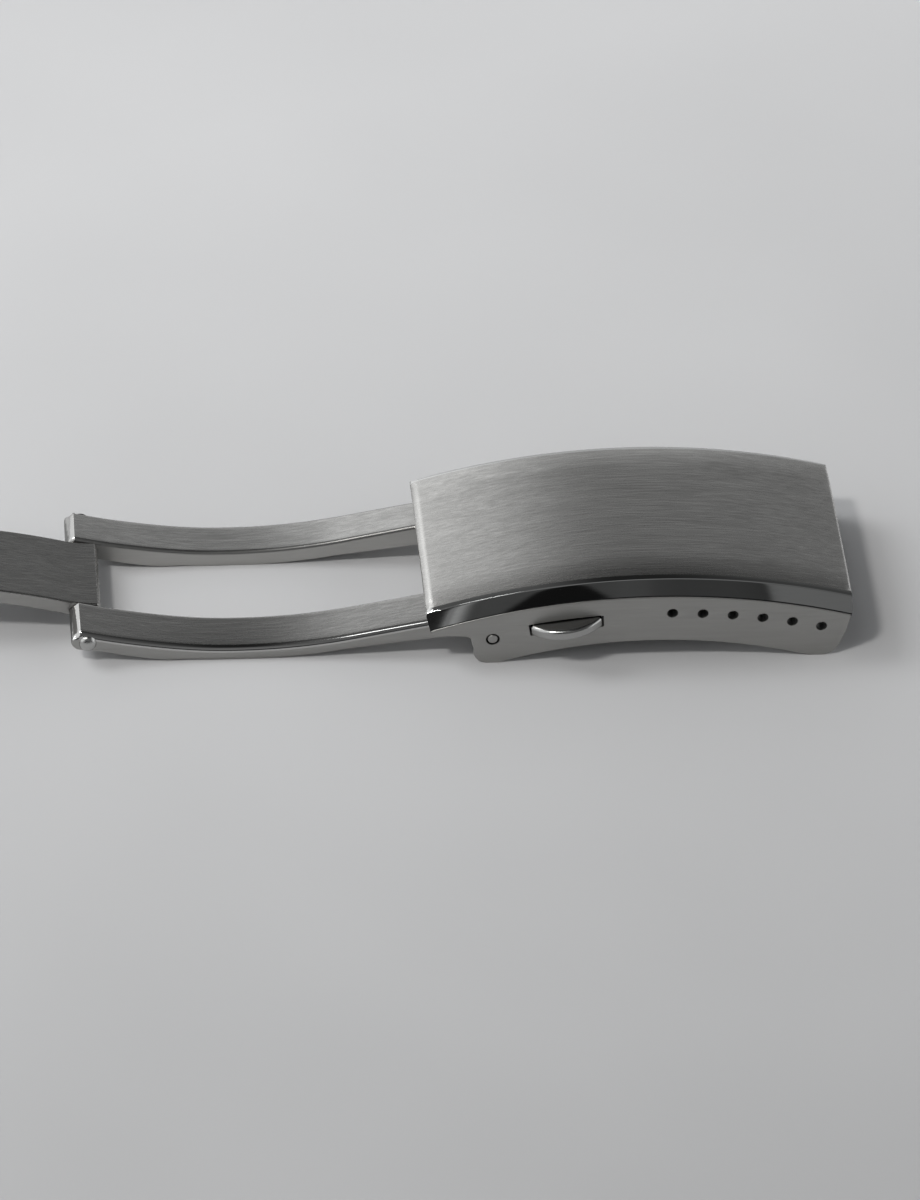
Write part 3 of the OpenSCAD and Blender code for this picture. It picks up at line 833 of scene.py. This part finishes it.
# ------------------------------------------------------------------ light
world = bpy.data.worlds.new("studio")
bpy.context.scene.world = world
world.use_nodes = True
wt = world.node_tree
wt.nodes.clear()
wo = wt.nodes.new("ShaderNodeOutputWorld")
wb = wt.nodes.new("ShaderNodeBackground")
wt.links.new(wb.outputs[0], wo.inputs[0])
wc = wt.nodes.new("ShaderNodeTexCoord")
ws = wt.nodes.new("ShaderNodeSeparateXYZ")
wt.links.new(wc.outputs["Generated"], ws.inputs[0])


def wmath(op, a, b=None):
    n = wt.nodes.new("ShaderNodeMath")
    n.operation = op
    for i, v in enumerate((a, b)):
        if v is None:
            continue
        if isinstance(v, (int, float)):
            n.inputs[i].default_value = v
        else:
            wt.links.new(v, n.inputs[i])
    return n.outputs[0]


def ramp(value, stops):
    r = wt.nodes.new("ShaderNodeValToRGB")
    r.color_ramp.interpolation = "EASE"
    el = r.color_ramp.elements
    while len(el) > 1:
        el.remove(el[0])
    el[0].position = stops[0][0]
    el[0].color = (stops[0][1],) * 3 + (1,)
    for pos, v in stops[1:]:
        e = el.new(pos)
        e.color = (v,) * 3 + (1,)
    wt.links.new(value, r.inputs[0])
    return r.outputs[0]


# round the X axis: 0 at the far horizon, 0.5 overhead, 1 at the near horizon
turn = wmath("DIVIDE", wmath("ARCTAN2", ws.outputs[2], ws.outputs[1]), math.pi)
left = ramp(turn, [(0.0, 0.85), (0.12, 1.15), (0.165, 1.28), (0.205, 0.87), (0.245, 0.48), (0.30, 0.12), (0.42, 0.10), (0.60, 0.20), (0.80, 0.13), (1.0, 0.04)])
middle = ramp(turn, [(0.0, 0.50), (0.12, 0.56), (0.165, 0.50), (0.195, 0.30), (0.22, 0.175), (0.245, 0.09), (0.275, 0.045), (0.34, 0.02), (0.62, 0.02), (0.78, 0.22), (0.86, 0.27), (0.93, 0.05), (1.0, 0.03)])
right = ramp(turn, [(0.0, 0.36), (0.14, 0.32), (0.18, 0.25), (0.215, 0.205), (0.25, 0.155), (0.30, 0.085), (0.42, 0.05), (0.62, 0.12), (0.80, 0.14), (0.88, 0.13), (1.0, 0.04)])


def wstep(value, lo, hi, a, b, smooth=True):
    n = wt.nodes.new("ShaderNodeMapRange")
    if smooth:
        n.interpolation_type = "SMOOTHSTEP"
    n.inputs["From Min"].default_value = lo
    n.inputs["From Max"].default_value = hi
    n.inputs["To Min"].default_value = a
    n.inputs["To Max"].default_value = b
    wt.links.new(value, n.inputs["Value"])
    return n.outputs["Result"]


wl = wstep(ws.outputs[0], -0.22, 0.02, 1, 0)
wr = wstep(ws.outputs[0], 0.09, 0.42, 0, 1)
wm1 = wmath("SUBTRACT", wmath("SUBTRACT", 1.0, wl), wr)
sky = wmath("ADD", wmath("ADD", wmath("MULTIPLY", left, wl), wmath("MULTIPLY", middle, wm1)), wmath("MULTIPLY", right, wr))
# pale walls far out to the left and right
side_l = wstep(ws.outputs[0], -0.62, -0.42, 1, 0)
side_r = wstep(ws.outputs[0], 0.64, 0.82, 0, 1)
sky = wmath("ADD", wmath("MULTIPLY", sky, wmath("SUBTRACT", 1.0, wmath("ADD", side_l, side_r))), wmath("ADD", wmath("MULTIPLY", side_l, 1.15), wmath("MULTIPLY", side_r, 1.15)))
# low in front of the clasp: the room that the polished bevels mirror
slope = wmath("DIVIDE", ws.outputs[0], wmath("MAXIMUM", wmath("MULTIPLY", ws.outputs[1], -1.0), 0.05))
room = wt.nodes.new("ShaderNodeValToRGB")
room.color_ramp.interpolation = "LINEAR"
stops = [(-0.30, 0.015), (-0.150, 0.02), (-0.143, 0.04), (-0.139, 0.13), (-0.136, 0.30), (-0.1325, 0.19), (-0.129, 0.36), (-0.123, 0.34),
         (-0.117, 0.20), (-0.110, 0.085), (-0.103, 0.064), (-0.095, 0.075), (-0.05, 0.068), (0.05, 0.066), (0.075, 0.076), (0.10, 0.070),
         (0.112, 0.056), (0.14, 0.050), (0.21, 0.049), (0.235, 0.044), (0.2515, 0.038), (0.258, 0.145), (0.27, 0.162), (0.50, 0.15)]
ce = room.color_ramp.elements
while len(ce) > 1:
    ce.remove(ce[0])
for k, (p, v) in enumerate(stops):
    e = ce[0] if k == 0 else ce.new((p + 0.5))
    e.position = p + 0.5
    e.color = (v, v, v, 1)
wt.links.new(wmath("ADD", slope, 0.5), room.inputs[0])
# its dark doorway, wider towards the floor
door = wmath("MULTIPLY", wstep(wmath("SUBTRACT", slope, wmath("MULTIPLY", ws.outputs[2], 0.65)), -0.133, -0.119, 0, 1),
             wstep(wmath("ADD", slope, wmath("MULTIPLY", ws.outputs[2], 0.68)), 0.124, 0.139, 1, 0))
room_tone = wmath("ADD", wmath("MULTIPLY", room.outputs[0], wmath("SUBTRACT", 1.0, door)), wmath("MULTIPLY", door, 0.008))
low = wmath("MULTIPLY", wstep(ws.outputs[2], 0.16, 0.24, 1, 0), wstep(ws.outputs[1], -0.75, -0.6, 1, 0))
total = wmath("ADD", wmath("MULTIPLY", sky, wmath("SUBTRACT", 1.0, low)), wmath("MULTIPLY", room_tone, low))
# a small lamp overhead that shows on the polished edges
lamp = wt.nodes.new("ShaderNodeVectorMath")
lamp.operation = "DOT_PRODUCT"
lamp.inputs[1].default_value = Vector((-0.2685, -0.378, 0.8858)).normalized()
wt.links.new(wc.outputs["Generated"], lamp.inputs[0])
total = wmath("ADD", total, wstep(lamp.outputs["Value"], 0.9965, 0.9985, 0, 5.5))
wcol = wt.nodes.new("ShaderNodeVectorMath")
wcol.operation = "SCALE"
wcol.inputs[0].default_value = (0.985, 1.0, 1.01)
wt.links.new(total, wcol.inputs["Scale"])
wt.links.new(wcol.outputs[0], wb.inputs["Color"])
wb.inputs["Strength"].default_value = 1.0


def area_light(name, direction, distance, size, energy, colour=(1, 1, 1), shape="DISK", size_y=None):
    data = bpy.data.lights.new(name, "AREA")
    data.shape = shape
    data.size = size
    if size_y:
        data.size_y = size_y
    data.energy = energy
    data.color = colour
    ob = bpy.data.objects.new(name, data)
    d = Vector(direction).normalized()
    ob.location = d * distance
    ob.rotation_mode = "QUATERNION"
    ob.rotation_quaternion = d.to_track_quat("Z", "Y")
    ob.visible_camera = False
    bpy.context.scene.collection.objects.link(ob)
    return ob


area_light("key", (-0.42, -0.36, 0.83), 1.3, 0.16, 5.3, (1.0, 0.985, 0.96))
area_light("window", (-0.66, 0.25, 0.71), 0.9, 0.36, 2.6, (0.975, 0.99, 1.0), "SQUARE")

# ------------------------------------------------------------------ camera
yaw, el, roll = 0.1066363, 0.6619304, 0.0418193
cx, cy, dist, focal = -16.326125, -4.977731, 601.8676, 7000.0
f = Vector((math.sin(yaw) * math.cos(el), math.cos(yaw) * math.cos(el), -math.sin(el)))
r = Vector((math.cos(yaw), -math.sin(yaw), 0.0))
u = r.cross(f)
r2 = r * math.cos(roll) + u * math.sin(roll)
u2 = u * math.cos(roll) - r * math.sin(roll)
place = (Vector((cx + XS, cy, 3.0)) - f * dist) * MM
cam_data = bpy.data.cameras.new("camera")
cam_data.lens = focal / 1200 * 36
cam_data.sensor_width = 36
cam_data.clip_start, cam_data.clip_end = 0.01, 10
cam = bpy.data.objects.new("camera", cam_data)
bpy.context.scene.collection.objects.link(cam)
m = Matrix((r2, u2, -f)).transposed().to_4x4()
m.translation = place
cam.matrix_world = m
bpy.context.scene.camera = cam

sc = bpy.context.scene
sc.view_settings.view_transform = "Standard"
sc.view_settings.look = "None"
